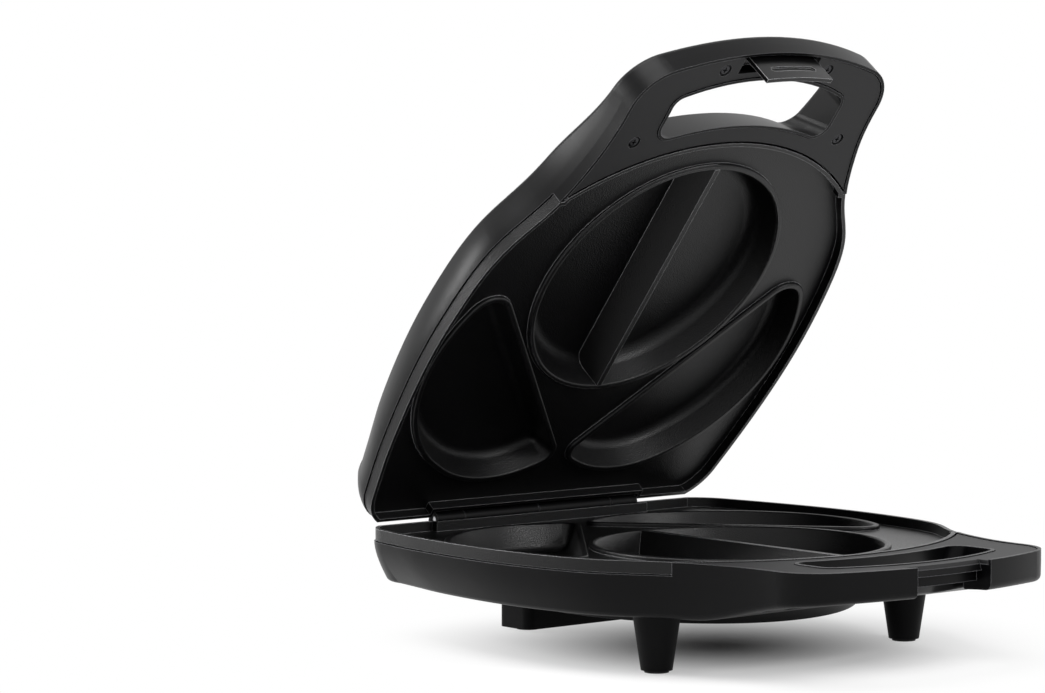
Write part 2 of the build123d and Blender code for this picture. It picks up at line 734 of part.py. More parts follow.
# ================================================================== heating element and its clamps
u_back = element_at - element_leg
left_back = at(-element_ring_r, u_back, element_z)
left_front = at(-element_ring_r, element_at, element_z)
right_back = at(element_ring_r, u_back, element_z)
right_front = at(element_ring_r, element_at, element_z)
bend = ThreePointArc(left_front, at(0, element_at + element_ring_r, element_z), right_front)
u_path = Wire([Line(left_back, left_front), bend, Line(right_front, right_back)])
element = sweep(Plane(left_back, z_dir=(0, -1, 0)) * Circle(element_r), path=u_path)
cold_end = Rot(-90, 0, 0) * Cylinder(element_cold_r, element_cold_len + element_cold_in, align=low_aligned)
for side in (-1, 1):
    element += Pos(side * element_ring_r, back_y - u_back - element_cold_in, element_z) * cold_end
cold_at = u_back - element_cold_len - lead_gap     # where the leads meet the element

clamps = []
for (x, v, dx, dv), foot in zip(clamp_spots, clamp_feet):
    length = clamp_reach + post_r + clamp_past
    shift = (clamp_reach + post_r - clamp_past) / 2
    size = (length, clamp_w) if dx else (clamp_w, length)
    strip = Box(*size, clamp_t, align=low_aligned)
    strip = Pos(x + dx * shift, back_y - v - dv * shift, element_face) * strip
    clamps.append(strip - column(*foot, 0, plateau_h, screw_r + boss_fit))

# ================================================================== legs, rear foot and pads
leg_top = face_h - past
leg_foot = split_z - pad_out
leg_cone = Cone(leg_top_r, leg_foot_r, leg_foot - leg_top, align=low_aligned)
leg = Pos(leg_at[0], back_y - leg_at[1], leg_top) * leg_cone
leg = leg - outer_form - column(*leg_at, 0, face_h + screw_len, screw_r + screw_fit)
leg_right = leg - column(*leg_at, split_z - pad_h, split_z, pad_r + pad_fit)
leg_left = mirror(leg_right, Plane.YZ)

bar_len = bar_at[1] - bar_at[0]
bar_plan = fillet(Rectangle(2 * bar_half, bar_len).vertices(), bar_corner_r)
bar_hollow = fillet(Rectangle(2 * (bar_half - bar_wall), bar_len - 2 * bar_wall).vertices(),
                    bar_corner_r - bar_wall / 2)
bar_place = Pos(0, back_y - bar_mid)
bar_pads = [(side * (bar_half - bar_pad_in), bar_mid) for side in (-1, 1)]
rear_foot = slab(bar_place * bar_plan, leg_top, leg_foot)
rear_foot -= slab(bar_place * bar_hollow, leg_top - past, leg_foot - bar_floor)
for x, v in bar_screws:
    rear_foot += column(x, v, leg_top, leg_foot - pad_h, bar_post_r)
rear_foot -= outer_form
for x, v in bar_screws:
    rear_foot -= column(x, v, 0, face_h + screw_len, screw_r + screw_fit)
for x, v in bar_pads:
    rear_foot -= column(x, v, split_z - pad_h, split_z, pad_r + pad_fit)
pads = [column(x, v, split_z - pad_h, split_z, pad_r) for x, v in leg_screws + bar_pads]

# ================================================================== cord inlet
sleeve = Pos(0, 0, past) * Cylinder(inlet_r + inlet_wall - screw_fit, inlet_len, align=high_aligned)
flange = Pos(0, 0, inlet_out) * Cylinder(inlet_r + inlet_flange_w, inlet_flange_t, align=high_aligned)
inlet = inlet_axis * (sleeve + flange) - outer_form
inlet = inlet + inlet_axis * sleeve - inlet_axis * Cylinder(inlet_r, 4 * inlet_len)

# ================================================================== the base's terminal block, fuse and leads
block_z = face_h - shell_wall
terminal_block = Pos(block_at[0], back_y - block_at[1], block_z) * Box(*block_size, align=high_aligned)
for step in (-1, 0, 1):
    entry_x = block_at[0] + step * block_pitch
    entry = Pos(entry_x, back_y - block_at[1], block_z - block_bore_in) * Rot(90, 0, 0)
    terminal_block -= entry * Cylinder(block_bore_r, 4 * block_size[1])
    terminal_block -= column(entry_x, block_at[1], 0, block_z - block_size[2] + block_screw_d, block_screw_r)

fuse_axis = Pos(fuse_at[0], back_y - fuse_at[1], land_under + fuse_r) * Rot(90, 0, 0)
thermal_fuse = fuse_axis * Cylinder(fuse_r, fuse_len)
fuse_clip = fuse_axis * Cylinder(fuse_r + clip_t, clip_w)
fuse_clip &= column(*fuse_at, land_under, land_under + 4 * clip_w, 2 * clip_w)
for side in (-1, 1):
    fuse_clip += Pos(fuse_at[0] + side * (fuse_r + clip_w / 2), back_y - fuse_at[1], land_under) * Box(
        clip_w, clip_w, clip_t, align=low_aligned)
fuse_clip -= fuse_axis * Cylinder(fuse_r + bite, 2 * fuse_len)


def lead(points):
    """Insulated lead along straight runs and tangent bends. Points are x, distance from the back, z."""
    path = FilletPolyline([at(*p) for p in points], radius=lead_bend_r)
    return sweep(Plane(path @ 0, z_dir=path % 0) * Circle(lead_r), path=path)


block_front = block_at[1] + block_size[1] / 2 + lead_r
lead_z = block_z - 2 * lead_r - lead_gap
base_leads = [
    lead([(block_at[0] + block_pitch, block_front, lead_z), (element_ring_r, red_at, lead_z),
          (element_ring_r, cold_at, element_z)]),
    lead([(block_at[0] - block_pitch, block_front, lead_z), (2.0, 36.0, lead_z),
          (-32.0, 70.0, lead_z + past), (-element_ring_r, cold_at, element_z)]),
]

# ================================================================== latch
hook_r = crown_r - hook_front_in
tooth_top = catch_d + tooth_gap
hook = slab(ring_sketch(hook_r, hook_r - hook_t, hook_half), -hook_below, hook_above)
hook += slab(ring_sketch(hook_r, hook_r - hook_body_w, hook_half),
             latch_pivot_h - hook_body_below, hook_above)
hook += slab(ring_sketch(hook_r - hook_t + bite, hook_r - hook_t - tooth_len, slot_w / 2),
             -tooth_top - tooth_h, -tooth_top)
slot = slab(ring_sketch(hook_r + past, hook_r - slot_d, slot_w / 2), -slot_top - slot_h, -slot_top)
slot_ends = [e for e in slot.edges() if abs((e % 0.5).Y) > 0.9]
hook -= fillet(slot_ends, slot_end_r)
hook -= cross_bar(latch_at, latch_pivot_h, latch_pin_r + latch_pin_fit, 3 * hook_half)
latch_pin = cross_bar(latch_at, latch_pivot_h, latch_pin_r, 2 * (notch_half + latch_pin_past))
spring_w = notch_half + opening_side - hook_half - 3 * spring_gap
spring_x = hook_half + spring_gap + spring_w / 2
latch_spring = cross_bar(latch_at, latch_pivot_h, latch_pin_r + spring_bore + spring_wall, spring_w, spring_x)
latch_spring -= cross_bar(latch_at, latch_pivot_h, latch_pin_r + spring_bore, 2 * spring_w, spring_x)

# ================================================================== lenses, lamps and their holder
flange_low = -shell_wall - lens_flange_t


def lens(area):
    """Indicator lens: a rounded window in the lid's face with a flange behind it."""
    body = slab(area(), flange_low, lens_out)
    top = [e for e in body.edges() if abs(e.center().Z - lens_out) < near]
    return fillet(top, lens_edge_r) + slab(area(lens_flange_w), flange_low, -shell_wall - pin_seat)


red_lens = on_panel(red_at) * lens(red_area)
green_lens = on_panel(green_at) * lens(green_area)
holder_mid = (red_at + green_at) / 2
holder = Box(holder_w, red_at - green_at + 2 * holder_past, holder_t, align=high_aligned)
holder_peg = Cylinder(holder_peg_r, lens_flange_t - pin_fit, align=low_aligned)
for side in (-1, 1):
    holder += Pos(side * holder_peg_x, 0, 0) * holder_peg
for v in (red_at, green_at):
    holder -= Pos(0, holder_mid - v, 0) * Box(
        2 * (lamp_r + lamp_room[0]), lamp_len + 2 * lamp_room[1], 8 * holder_t)
lamp_holder = on_panel(holder_mid) * Pos(0, 0, flange_low) * holder
lamps = [on_panel(v) * Pos(0, 0, flange_low - lamp_r) * Rot(90, 0, 0) * Cylinder(lamp_r, lamp_len)
         for v in (red_at, green_at)]

# ================================================================== thermostat and leads of the lid
thermostat = column(*thermostat_at, land_under, land_under + thermostat_h[0], thermostat_r[0])
thermostat += column(*thermostat_at, land_under, land_under + thermostat_h[1], thermostat_r[1])
for side in (-1, 1):
    thermostat += Pos(thermostat_at[0] + side * blade_x, back_y - thermostat_at[1],
                      land_under + thermostat_h[0] - past) * Box(*blade_size, align=low_aligned)
blade_top = land_under + thermostat_h[0] - past + blade_size[2]
holder_z = panel_height(holder_mid) - shell_wall - lens_flange_t - holder_t
holder_edge = holder_w / 2 + lead_r - lead_gap
lid_leads = [
    lead([(holder_edge, holder_mid, holder_z + lead_sag), (50.0, 62.0, holder_z),
          (thermostat_at[0] - blade_x, 120.0, holder_z - past),
          (thermostat_at[0] - blade_x, thermostat_at[1] - 3 * past, blade_top + past)]),
    lead([(-holder_edge, holder_mid, holder_z + lead_sag), (-30.0, 60.0, holder_z + lead_sag),
          (-element_ring_r, cold_at, element_z)]),
]
hinge_pin = cross_bar(hinge_at, 0, pin_r, 2 * barrel_half - past)

# ================================================================== placing and writing
base_pieces = {
    "base_shell": base_shell,
    "base_handle_cover": base_cover,
    "lower_plate": plate,
    "lower_heating_element": element,
    "lower_element_clamps": group(clamps),
    "lower_clamp_screws": group(clamp_screws),
    "lower_plate_screws": group(plate_screws),
    "base_cover_screws": group(base_cover_screws),
    "front_leg_left": leg_left,
    "front_leg_right": leg_right,
    "rear_foot": rear_foot,
    "foot_pads": group(pads),
    "foot_screws": group(foot_screws),
    "cord_inlet": inlet,
    "terminal_block": terminal_block,
    "thermal_fuse": thermal_fuse,
    "fuse_clip": fuse_clip,
    "base_leads": group(base_leads),
    "hinge_pin": hinge_pin,
}
lid_pieces = {
    "lid_shell": lid_shell,
    "lid_handle_cover": lid_cover,
    "upper_plate": plate,
    "upper_heating_element": element,
    "upper_element_clamps": group(clamps),
    "upper_clamp_screws": group(clamp_screws),
    "upper_plate_screws": group(plate_screws),
    "lid_cover_screws": group(lid_cover_screws),
    "red_lens": red_lens,
    "green_lens": green_lens,
    "lamp_holder": lamp_holder,
    "indicator_lamps": group(lamps),
    "thermostat": thermostat,
    "lid_leads": group(lid_leads),
    "latch_hook": hook,
    "latch_pin": latch_pin,
    "latch_spring": latch_spring,
}
hinge_axis = Axis((0, hinge_y, split_z), (-1, 0, 0))


def as_base(shape):
    """Turned over about the split and set at its height."""
    return Pos(0, 0, split_z) * mirror(shape, Plane.XY)


def as_lid(shape):
    """Set on the split, then swung open about the hinge."""
    return (Pos(0, 0, split_z) * shape).rotate(hinge_axis, open_rest)


os.makedirs("parts", exist_ok=True)
for name, shape in base_pieces.items():
    export_step(as_base(shape), f"parts/{name}.step")
for name, shape in lid_pieces.items():
    export_step(as_lid(shape), f"parts/{name}.step")
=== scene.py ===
import math

import bmesh
import bpy
from mathutils import Matrix, Vector


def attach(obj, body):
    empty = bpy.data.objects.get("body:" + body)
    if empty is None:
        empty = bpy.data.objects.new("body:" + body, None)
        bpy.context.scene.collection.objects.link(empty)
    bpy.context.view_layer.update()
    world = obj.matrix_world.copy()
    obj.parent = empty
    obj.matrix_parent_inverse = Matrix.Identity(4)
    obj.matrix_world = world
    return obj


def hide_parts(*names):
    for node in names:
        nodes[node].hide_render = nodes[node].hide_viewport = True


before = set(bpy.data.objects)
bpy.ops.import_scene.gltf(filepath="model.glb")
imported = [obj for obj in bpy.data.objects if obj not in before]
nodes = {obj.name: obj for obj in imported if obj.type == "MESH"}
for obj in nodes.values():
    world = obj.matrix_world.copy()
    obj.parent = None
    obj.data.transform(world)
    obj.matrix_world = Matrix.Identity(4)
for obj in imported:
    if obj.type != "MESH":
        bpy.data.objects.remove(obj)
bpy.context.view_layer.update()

# ------------------------------------------------------------------ camera
# The maker is seen from its front left and a little above, from far enough away to look calm.
IMAGE_WIDTH = 1045
FOCAL_PIXELS = 4013.3
SENSOR = 36.0
VIEW_AZIMUTH = math.radians(-40.048)
VIEW_HEIGHT = math.radians(3.844)
VIEW_DISTANCE = 1.6164
VIEW_AIM = Vector((-0.15061, -0.04713, 0.14016))
VIEW_ROLL = math.radians(-0.09)

backwards = Vector((math.sin(VIEW_AZIMUTH) * math.cos(VIEW_HEIGHT),
                    -math.cos(VIEW_AZIMUTH) * math.cos(VIEW_HEIGHT), math.sin(VIEW_HEIGHT)))
camera = bpy.data.objects.new("camera", bpy.data.cameras.new("camera"))
bpy.context.scene.collection.objects.link(camera)
camera.location = VIEW_AIM + VIEW_DISTANCE * backwards
camera.rotation_mode = "QUATERNION"
camera.rotation_quaternion = backwards.to_track_quat("Z", "Y")
camera.rotation_mode = "XYZ"
camera.rotation_euler.rotate_axis("Z", VIEW_ROLL)
camera.data.sensor_width = SENSOR
camera.data.lens = FOCAL_PIXELS / IMAGE_WIDTH * SENSOR
camera.data.clip_end = 20.0
bpy.context.scene.camera = camera


# ------------------------------------------------------------------ shells
# The two half shells are injection-moulded ABS in black. The mould is finely sand-blasted, so the
# plastic has a satin skin: broad soft highlights, and sharp ones only along its edges.
def linear(hex_colour):
    """Linear colour of an sRGB hex value."""
    parts = [int(hex_colour[i:i + 2], 16) / 255 for i in (1, 3, 5)]
    return (*(c / 12.92 if c <= 0.04045 else ((c + 0.055) / 1.055) ** 2.4 for c in parts), 1.0)


def add_node(tree, kind, links=None, **settings):
    """Adds a node. A setting named after an input goes to that input. Links name the sockets that feed it."""
    node = tree.nodes.new(kind)
    for name, value in settings.items():
        if hasattr(node, name):
            setattr(node, name, value)
        else:
            node.inputs[name.replace("_", " ")].default_value = value
    for name, socket in (links or {}).items():
        tree.links.new(socket, node.inputs[name])
    return node


def new_material(name):
    """An empty node material and its tree."""
    material = bpy.data.materials.new(name)
    material.use_nodes = True
    material.node_tree.nodes.clear()
    return material, material.node_tree


def finish_material(tree, shader):
    """Joins the shader to the material's surface."""
    add_node(tree, "ShaderNodeOutputMaterial", {"Surface": shader.outputs[0]})


def wear(node_name, material):
    """Gives a CAD node its material."""
    data = nodes[node_name].data
    data.materials.clear()
    data.materials.append(material)


EDGE_ROUNDING = 0.0004        # radius that a moulded edge keeps
EDGE_HIGHLIGHT_STARTS = 0.99             # likeness of the two normals at which the painted edge highlight starts
EDGE_HIGHLIGHT_FULL = 0.88


# Edges are painted lighter where the rounded normal turns away from the plain one: a painted highlight along
# them.
def edge_highlight(tree, soft_edge, most):
    """Share of a painted highlight along an edge, up to most: where the rounded normal leaves the plain one.
    """
    plain = add_node(tree, "ShaderNodeNewGeometry")
    likeness = add_node(tree, "ShaderNodeVectorMath",
                        {0: soft_edge.outputs["Normal"], 1: plain.outputs["Normal"]}, operation="DOT_PRODUCT")
    return add_node(tree, "ShaderNodeMapRange", {"Value": likeness.outputs["Value"]},
                    From_Min=EDGE_HIGHLIGHT_STARTS, From_Max=EDGE_HIGHLIGHT_FULL, To_Min=0.0, To_Max=most).outputs["Result"]


def two_tones(tree, share, plain_hex, other_hex):
    """A colour between two, mixed by a socket."""
    mix = add_node(tree, "ShaderNodeMix", {"Factor": share}, data_type="RGBA")
    mix.inputs[6].default_value = linear(plain_hex)
    mix.inputs[7].default_value = linear(other_hex)
    return mix.outputs[2]


MOULD_GRAIN = 0.00035         # blasted mould skin, drawn a little coarser than the real one so it shows
SHEEN_PATCH = 1 / 14          # broad cloudy change of the sheen
abs_satin, tree = new_material("black_abs_satin_moulded")
place = add_node(tree, "ShaderNodeTexCoord")
grain = add_node(tree, "ShaderNodeTexNoise", {"Vector": place.outputs["Object"]},
                 Scale=1 / MOULD_GRAIN, Detail=2.0, Roughness=0.6)
drift = add_node(tree, "ShaderNodeTexNoise", {"Vector": place.outputs["Object"]},
                 Scale=1 / SHEEN_PATCH, Detail=3.0)
sheen = add_node(tree, "ShaderNodeMapRange", {"Value": drift.outputs["Fac"]}, To_Min=0.32, To_Max=0.38)
soft_edge = add_node(tree, "ShaderNodeBevel", samples=4, Radius=EDGE_ROUNDING)
skin = add_node(tree, "ShaderNodeBump",
                {"Height": grain.outputs["Fac"], "Normal": soft_edge.outputs["Normal"]},
                Strength=0.06, Distance=0.0001)
# The shells' edges are painted light grey: a painted highlight along them.
shader = add_node(tree, "ShaderNodeBsdfPrincipled",
                  {"Base Color": two_tones(tree, edge_highlight(tree, soft_edge, 1.0), "#060607", "#77777a"),
                   "Roughness": sheen.outputs["Result"], "Normal": skin.outputs["Normal"]},
                  IOR=1.5, Specular_IOR_Level=0.12)
finish_material(tree, shader)
for name in ("base_shell", "lid_shell"):
    wear(name, abs_satin)

# ------------------------------------------------------------------ plates
# The plates are deep-drawn aluminium under a sprayed and baked non-stick coating: near black, matt,
# with a fine pebbled grain that sparkles a little where light grazes it.
COATING_GRAIN = 0.0006        # pebbles of the sprayed coat, coarser than real ones so they show
coating, tree = new_material("baked_nonstick_coating")
place = add_node(tree, "ShaderNodeTexCoord")
pebbles = add_node(tree, "ShaderNodeTexVoronoi", {"Vector": place.outputs["Object"]}, Scale=1 / COATING_GRAIN)
specks = add_node(tree, "ShaderNodeTexNoise", {"Vector": place.outputs["Object"]},
                  Scale=1 / (2 * COATING_GRAIN), Detail=2.0)
gloss = add_node(tree, "ShaderNodeMapRange", {"Value": specks.outputs["Fac"]}, To_Min=0.28, To_Max=0.42)
soft_edge = add_node(tree, "ShaderNodeBevel", samples=4, Radius=EDGE_ROUNDING)
relief = add_node(tree, "ShaderNodeBump",
                  {"Height": pebbles.outputs["Distance"], "Normal": soft_edge.outputs["Normal"]},
                  Strength=0.22, Distance=0.0005)
speckled = two_tones(tree, specks.outputs["Fac"], "#060607", "#101011")
# Over the real speckle, the edges of the beads and rims are painted light grey: a painted highlight.
coat = add_node(tree, "ShaderNodeMix", {"Factor": edge_highlight(tree, soft_edge, 1.0), 6: speckled},
                data_type="RGBA")
coat.inputs[7].default_value = linear("#a6a6a8")
shader = add_node(tree, "ShaderNodeBsdfPrincipled",
                  {"Base Color": coat.outputs[2], "Roughness": gloss.outputs["Result"],
                   "Normal": relief.outputs["Normal"]}, IOR=1.4, Specular_IOR_Level=0.38)
finish_material(tree, shader)
for name in ("lower_plate", "upper_plate"):
    wear(name, coating)

# ------------------------------------------------------------------ inner covers of the handles
# Flat covers pressed into the handles' inner sides, moulded in the same black but with a coarser,
# duller grain, so they look dark grey beside the shells.
COVER_GRAIN = 0.0005          # spark-eroded grain of the covers' mould
cover_plastic, tree = new_material("dark_grey_abs_matt")
place = add_node(tree, "ShaderNodeTexCoord")
grain = add_node(tree, "ShaderNodeTexNoise", {"Vector": place.outputs["Object"]},
                 Scale=1 / COVER_GRAIN, Detail=2.0)
soft_edge = add_node(tree, "ShaderNodeBevel", samples=4, Radius=EDGE_ROUNDING)
skin = add_node(tree, "ShaderNodeBump",
                {"Height": grain.outputs["Fac"], "Normal": soft_edge.outputs["Normal"]},
                Strength=0.10, Distance=0.00015)
# The covers' edges are painted mid grey: a painted highlight along them.
tone = two_tones(tree, edge_highlight(tree, soft_edge, 0.6), "#1c1c1d", "#7a7a7c")
shader = add_node(tree, "ShaderNodeBsdfPrincipled", {"Base Color": tone, "Normal": skin.outputs["Normal"]},
                  Roughness=0.55, IOR=1.45, Specular_IOR_Level=0.3)
finish_material(tree, shader)
for name in ("base_handle_cover", "lid_handle_cover"):
    wear(name, cover_plastic)

# ------------------------------------------------------------------ legs, rear foot and cord inlet
# The feet and the cord's inlet are glass-filled nylon, tougher and duller than the shells, with the
# fine mottle that short fibres leave.
FIBRE_MOTTLE = 0.0015         # cloudy spots of short glass fibres
nylon, tree = new_material("black_glass_filled_nylon")
place = add_node(tree, "ShaderNodeTexCoord")
mottle = add_node(tree, "ShaderNodeTexNoise", {"Vector": place.outputs["Object"]},
                  Scale=1 / FIBRE_MOTTLE, Detail=4.0)
gloss = add_node(tree, "ShaderNodeMapRange", {"Value": mottle.outputs["Fac"]}, To_Min=0.46, To_Max=0.56)
soft_edge = add_node(tree, "ShaderNodeBevel", samples=4, Radius=EDGE_ROUNDING)
skin = add_node(tree, "ShaderNodeBump",
                {"Height": mottle.outputs["Fac"], "Normal": soft_edge.outputs["Normal"]},
                Strength=0.05, Distance=0.0002)
shader = add_node(tree, "ShaderNodeBsdfPrincipled",
                  {"Roughness": gloss.outputs["Result"], "Normal": skin.outputs["Normal"]},
                  Base_Color=linear("#080809"), IOR=1.5, Specular_IOR_Level=0.08)
finish_material(tree, shader)
for name in ("front_leg_left", "front_leg_right", "rear_foot", "cord_inlet"):
    wear(name, nylon)

# ------------------------------------------------------------------ latch plate
# Unfilled nylon, which springs. It comes out of a polished mould, so it is the glossiest black piece,
# and its edges and the rim of its recess carry a painted highlight.
FLOW_MARK = 1 / 180           # faint marks of the plastic's flow in the mould
latch_nylon, tree = new_material("black_nylon_polished")
place = add_node(tree, "ShaderNodeTexCoord")
flow = add_node(tree, "ShaderNodeTexNoise", {"Vector": place.outputs["Object"]},
                Scale=1 / FLOW_MARK, Detail=3.0)
gloss = add_node(tree, "ShaderNodeMapRange", {"Value": flow.outputs["Fac"]}, To_Min=0.24, To_Max=0.28)
soft_edge = add_node(tree, "ShaderNodeBevel", samples=4, Radius=EDGE_ROUNDING)
# Edges and the rim of the recess are painted near white: a painted highlight.
tone = two_tones(tree, edge_highlight(tree, soft_edge, 1.0), "#0d0d0e", "#d4d4d6")
shader = add_node(tree, "ShaderNodeBsdfPrincipled",
                  {"Base Color": tone, "Roughness": gloss.outputs["Result"],
                   "Normal": soft_edge.outputs["Normal"]}, IOR=1.53, Specular_IOR_Level=0.25)
finish_material(tree, shader)
wear("latch_hook", latch_nylon)

# ------------------------------------------------------------------ pads
# Soft rubber buttons pressed into the feet, so the maker doesn't slide. They are dull and
# faintly dusty, as moulded rubber is.
DUST_SPECK = 0.0025
pad_rubber, tree = new_material("black_rubber_moulded")
place = add_node(tree, "ShaderNodeTexCoord")
dust = add_node(tree, "ShaderNodeTexNoise", {"Vector": place.outputs["Object"]},
                Scale=1 / DUST_SPECK, Detail=5.0)
tone = two_tones(tree, dust.outputs["Fac"], "#141414", "#262626")
shader = add_node(tree, "ShaderNodeBsdfPrincipled", {"Base Color": tone}, Roughness=0.8, IOR=1.5)
finish_material(tree, shader)
wear("foot_pads", pad_rubber)

# ------------------------------------------------------------------ screws, pins, clamps and spring
# Steel fasteners. The ones that show are blackened in an oxide bath, which leaves a cloudy dark
# metal, and the hidden ones have bright zinc.
OXIDE_CLOUD = 1 / 900
ZINC_SPANGLE = 1 / 600
blackened, tree = new_material("black_oxide_steel")
place = add_node(tree, "ShaderNodeTexCoord")
cloud = add_node(tree, "ShaderNodeTexNoise", {"Vector": place.outputs["Object"]},
                 Scale=1 / OXIDE_CLOUD, Detail=3.0)
gloss = add_node(tree, "ShaderNodeMapRange", {"Value": cloud.outputs["Fac"]}, To_Min=0.28, To_Max=0.45)
shader = add_node(tree, "ShaderNodeBsdfPrincipled", {"Roughness": gloss.outputs["Result"]},
                  Base_Color=linear("#39393b"), Metallic=1.0)
finish_material(tree, shader)
for name in ("lid_cover_screws", "base_cover_screws"):
    wear(name, blackened)

zinc, tree = new_material("bright_zinc_plated_steel")
place = add_node(tree, "ShaderNodeTexCoord")
cloud = add_node(tree, "ShaderNodeTexNoise", {"Vector": place.outputs["Object"]},
                 Scale=1 / ZINC_SPANGLE, Detail=3.0)
gloss = add_node(tree, "ShaderNodeMapRange", {"Value": cloud.outputs["Fac"]}, To_Min=0.24, To_Max=0.38)
shader = add_node(tree, "ShaderNodeBsdfPrincipled", {"Roughness": gloss.outputs["Result"]},
                  Base_Color=linear("#c3c4c6"), Metallic=1.0)
finish_material(tree, shader)
for name in ("hinge_pin", "latch_pin", "latch_spring", "foot_screws", "lower_plate_screws",
             "upper_plate_screws", "lower_clamp_screws", "upper_clamp_screws", "lower_element_clamps",
             "upper_element_clamps", "fuse_clip"):
    wear(name, zinc)

# ------------------------------------------------------------------ cover screws
# Small pan-head screws with a pressed cross, the same one at every place: at each side behind the
# finger hole and in front of it. The lid's are seen, the base's are driven in from below.
HINGE = Vector((0.0, 0.123233, 0.0493))
LID_OPEN = math.radians(51.34)
LID_TURN = Matrix.Translation(HINGE) @ Matrix.Rotation(-LID_OPEN, 4, "X") @ Matrix.Translation(-HINGE)
SCREW_PLACES = [(side * x, y) for x, y in ((0.060, -0.09567), (0.030, -0.13447)) for side in (-1, 1)]
LID_SEAT_HEIGHT = 0.0512      # underside of the heads, with the lid shut
BASE_SEAT_HEIGHT = 0.03885
HEAD_HALF = 0.0026
HEAD_HIGH = 0.00095
HEAD_FLAT = 0.72              # flat top of the head, as a share of its radius
HEAD_RIM = 0.35               # straight rim of the head, as a share of its height
HEAD_POINTS = 6               # points along the round between them
SHANK_HALF = 0.00138
SHANK_LONG = 0.009
THREAD_PITCH = 0.0009
THREAD_TURNS = 9
THREAD_ROOT = 0.76            # share of the shank's radius that is left between the threads
TIP_SHARE = 0.2
SCREW_SIDES = 32
CROSS_LONG = 0.0031
CROSS_WIDE = 0.0008
CROSS_DEEP = 0.0006
CROSS_FOOT = (0.6, 0.8)       # the cross narrows to this share at its foot
CROSS_MOUTH = 1.1
SHARP_ANGLE = math.radians(38)


def mesh_of(shape, name):
    """A mesh from bmesh data, smooth but for its sharp edges."""
    data = bpy.data.meshes.new(name)
    shape.to_mesh(data)
    shape.free()
    data.shade_smooth()
    data.set_sharp_from_angle(angle=SHARP_ANGLE)
    return data


def placed(data, name):
    """An object at the origin that shows a mesh."""
    piece = bpy.data.objects.new(name, data)
    bpy.context.scene.collection.objects.link(piece)
    return piece


def baked(piece, name):
    """What the modifiers make of an object, as a plain piece. The object itself goes."""
    bpy.context.view_layer.update()
    whole = piece.evaluated_get(bpy.context.evaluated_depsgraph_get())
    result = placed(bpy.data.meshes.new_from_object(whole), name)
    result.data.name = name
    bpy.data.objects.remove(piece)
    return result


def turned_solid(profile, steps):
    """Solid turned about Z from points of radius and height that start and end on the axis."""
    shape = bmesh.new()
    points = [shape.verts.new((r, 0.0, z)) for r, z in profile]
    edges = [shape.edges.new(pair) for pair in zip(points, points[1:])]
    bmesh.ops.spin(shape, geom=points + edges, axis=(0, 0, 1), cent=(0, 0, 0), steps=steps,
                   angle=math.tau, use_merge=True)
    bmesh.ops.remove_doubles(shape, verts=shape.verts, dist=1e-7)
    bmesh.ops.recalc_face_normals(shape, faces=shape.faces)
    # A spin makes its faces in an order that changes from run to run, so they get a fixed one.
    shape.verts.index_update()
    by_corners = sorted(shape.faces, key=lambda face: [corner.index for corner in face.verts])
    place = {face: i for i, face in enumerate(by_corners)}
    shape.faces.sort(key=place.get)
    return shape


screw_side = [(0.0, HEAD_HIGH)]
for i in range(HEAD_POINTS):
    turn = math.radians(90 * i / (HEAD_POINTS - 1))
    screw_side.append((HEAD_HALF * (HEAD_FLAT + (1 - HEAD_FLAT) * math.sin(turn)),
                       HEAD_HIGH * (HEAD_RIM + (1 - HEAD_RIM) * math.cos(turn))))
screw_side += [(HEAD_HALF, 0.0), (SHANK_HALF, 0.0)]
for i in range(THREAD_TURNS):
    z = -THREAD_PITCH * (i + 0.5)
    screw_side += [(THREAD_ROOT * SHANK_HALF, z), (SHANK_HALF, z - THREAD_PITCH / 2)]
screw_side += [(TIP_SHARE * SHANK_HALF, -SHANK_LONG), (0.0, -SHANK_LONG)]
plain_screw = placed(mesh_of(turned_solid(screw_side, SCREW_SIDES), "plain_screw"), "plain_screw")

SQUARE = ((-1, -1), (1, -1), (1, 1), (-1, 1))
cutter = bmesh.new()
for long, wide in ((CROSS_LONG, CROSS_WIDE), (CROSS_WIDE, CROSS_LONG)):
    low = [cutter.verts.new((CROSS_FOOT[0] * x * long / 2, CROSS_FOOT[1] * y * wide / 2,
                             HEAD_HIGH - CROSS_DEEP)) for x, y in SQUARE]
    high = [cutter.verts.new((CROSS_MOUTH * x * long / 2, CROSS_MOUTH * y * wide / 2,
                              HEAD_HIGH + CROSS_DEEP)) for x, y in SQUARE]
    cutter.faces.new(low[::-1])
    cutter.faces.new(high)
    for i in range(4):
        cutter.faces.new((low[i], low[(i + 1) % 4], high[(i + 1) % 4], high[i]))
cross = placed(mesh_of(cutter, "screw_cross"), "screw_cross")
cut = plain_screw.modifiers.new("cross", "BOOLEAN")
cut.operation = "DIFFERENCE"
cut.solver = "EXACT"
cut.use_self = True
cut.object = cross
screw = baked(plain_screw, "screw")
bpy.data.objects.remove(cross)
screw.data.set_sharp_from_angle(angle=SHARP_ANGLE)


def geometry_tree(name, sockets):
    """A geometry node tree with named inputs, its input and output nodes, and the inputs' identifiers."""
    tree = bpy.data.node_groups.new(name, "GeometryNodeTree")
    tree.interface.new_socket("Geometry", in_out="INPUT", socket_type="NodeSocketGeometry")
    tree.interface.new_socket("Geometry", in_out="OUTPUT", socket_type="NodeSocketGeometry")
    keys = {}
    for label, kind in sockets.items():
        socket = tree.interface.new_socket(label, in_out="INPUT", socket_type="NodeSocket" + kind)
        keys[label] = socket.identifier
    return tree, tree.nodes.new("NodeGroupInput"), tree.nodes.new("NodeGroupOutput"), keys


def grown(piece, tree, keys, name, **values):
    """Runs a geometry tree on an object with those inputs and gives the plain result."""
    growth = piece.modifiers.new("growth", "NODES")
    growth.node_group = tree
    for label, value in values.items():
        growth[keys[label.replace("_", " ")]] = value
    return baked(piece, name)


